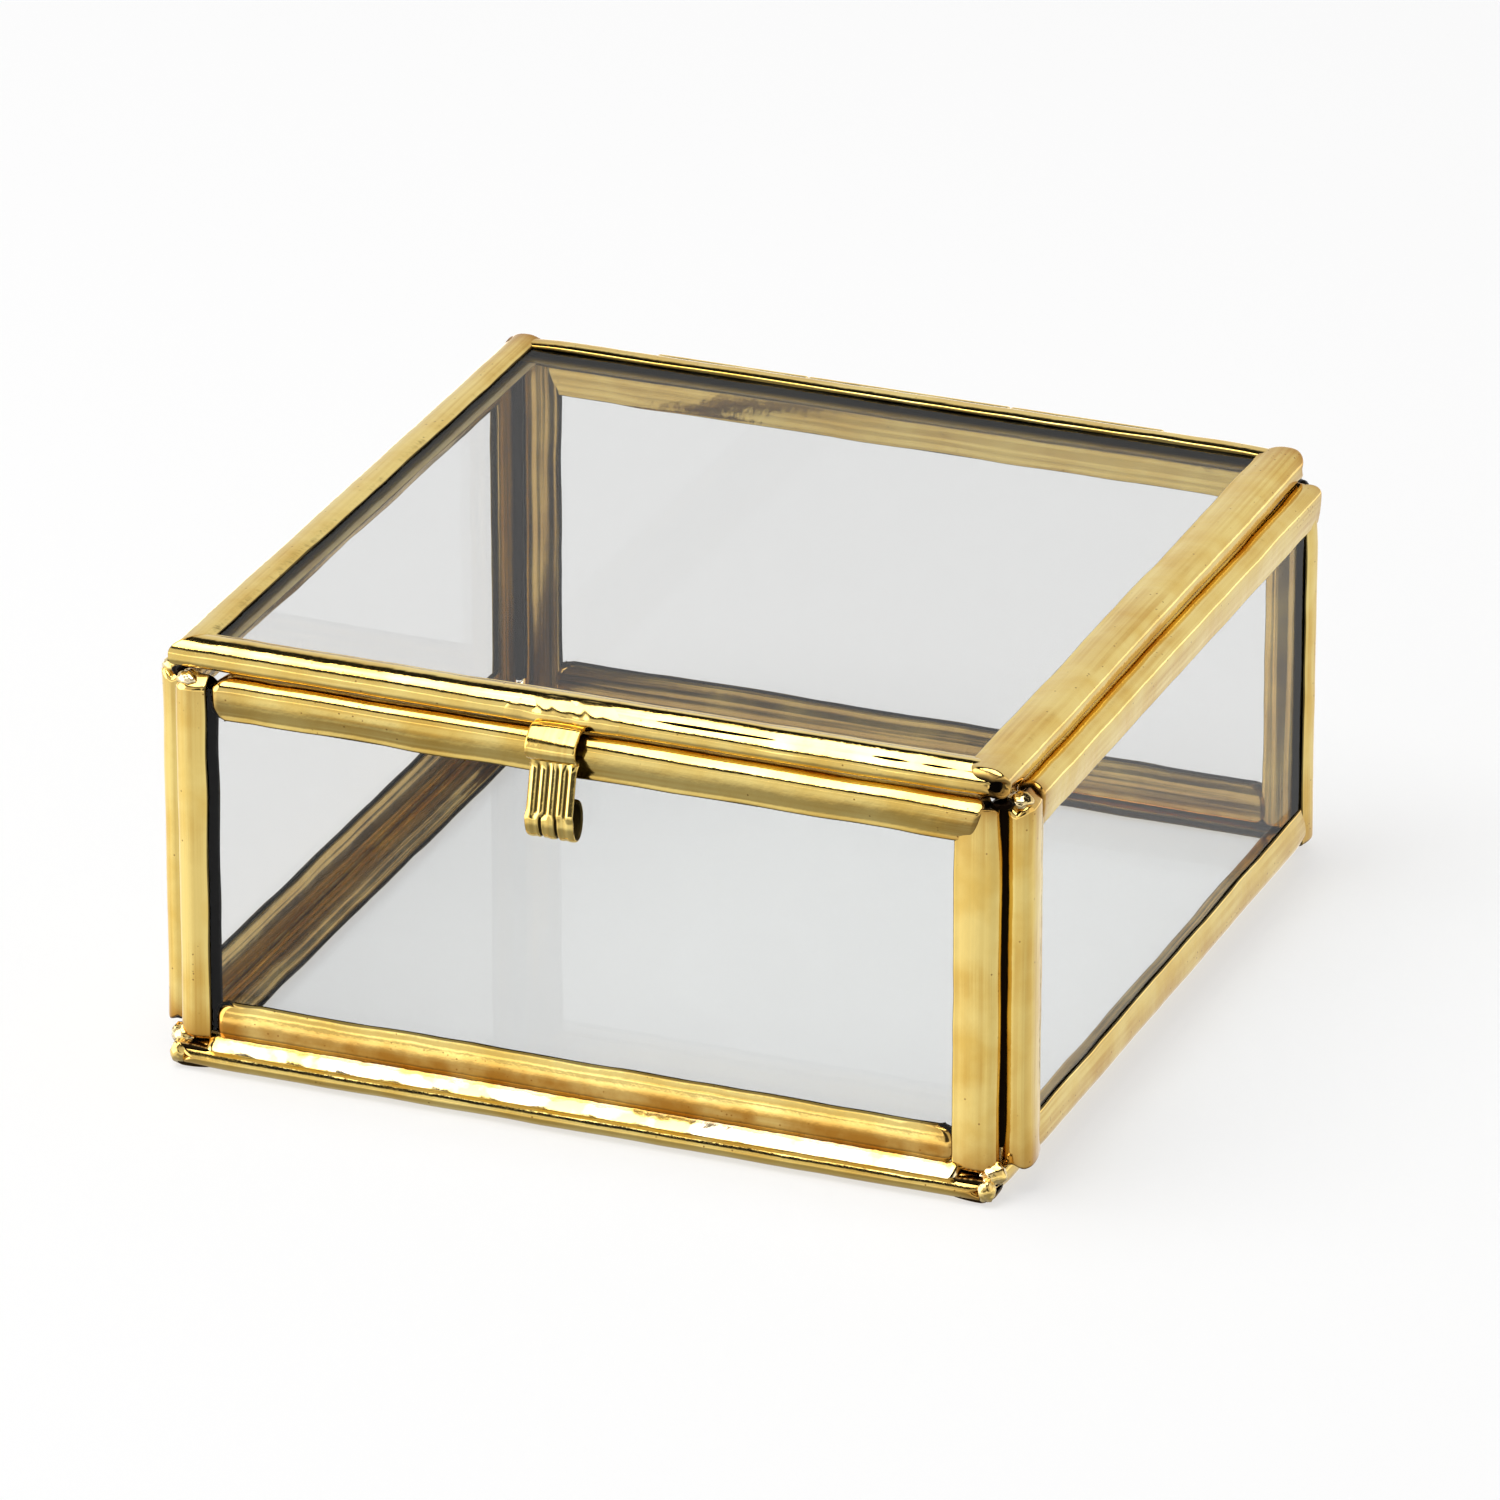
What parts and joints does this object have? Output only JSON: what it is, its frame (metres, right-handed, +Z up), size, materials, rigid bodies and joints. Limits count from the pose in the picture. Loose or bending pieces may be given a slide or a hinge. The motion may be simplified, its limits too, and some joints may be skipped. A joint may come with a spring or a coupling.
{
  "type": "glass casket box",
  "caption": "Low square casket box of clear glass panes framed in folded brass channel, with a rear-hinged glass lid and a bent spring tab at the front.",
  "frame": {"origin": "on the resting plane, under the middle of the four walls; the tab at the front makes the bounding box's middle lie about half a millimetre in front of it", "axes": "+Z up, -Y towards the front with the spring tab, +X to the right seen from the front"},
  "size_m": [0.1, 0.1022, 0.0495],
  "materials": {
    "brass": "polished, lightly aged",
    "solder": "soft solder, brass plated and toned",
    "clear_glass": "clear float glass"
  },
  "bodies": {
    "casket": {"back_channel_bottom": "brass", "back_channel_left": "brass", "back_channel_right": "brass", "back_channel_top": "brass", "back_glass": "clear_glass", "base_channel_back": "brass", "base_channel_front": "brass", "base_channel_left": "brass", "base_channel_right": "brass", "base_corner_solder": "solder", "base_glass": "clear_glass", "base_solder_back": "solder", "base_solder_front": "solder", "base_solder_left": "solder", "base_solder_right": "solder", "corner_solder_back_left": "solder", "corner_solder_back_right": "solder", "corner_solder_front_left": "solder", "corner_solder_front_right": "solder", "front_channel_bottom": "brass", "front_channel_left": "brass", "front_channel_right": "brass", "front_channel_top": "brass", "front_glass": "clear_glass", "hinge_solder_left": "solder", "hinge_solder_right": "solder", "hinge_tube_left": "brass", "hinge_tube_right": "brass", "hinge_wire": "brass", "left_channel_back": "brass", "left_channel_bottom": "brass", "left_channel_front": "brass", "left_channel_top": "brass", "left_glass": "clear_glass", "right_channel_back": "brass", "right_channel_bottom": "brass", "right_channel_front": "brass", "right_channel_top": "brass", "right_glass": "clear_glass"},
    "lid": {"latch_solder": "solder", "lid_channel_back": "brass", "lid_channel_front": "brass", "lid_channel_left": "brass", "lid_channel_right": "brass", "lid_glass": "clear_glass", "lid_hinge_solder": "solder", "lid_hinge_tube": "brass"},
    "latch": {"latch_tab": "brass"}
  },
  "joints": [
    {"name": "lid_hinge", "type": "hinge", "parent": "casket", "child": "lid", "pos_m": [0, 0.04805, 0.0474], "axis": [-1, 0, 0], "range_deg": [0, 110]},
    {"name": "latch_flex", "type": "hinge", "parent": "lid", "child": "latch", "pos_m": [-0.0025, -0.04918, 0.04714], "axis": [-1, 0, 0], "range_deg": [0, 10], "stiffness_Nm_per_rad": 0.02}
  ]
}
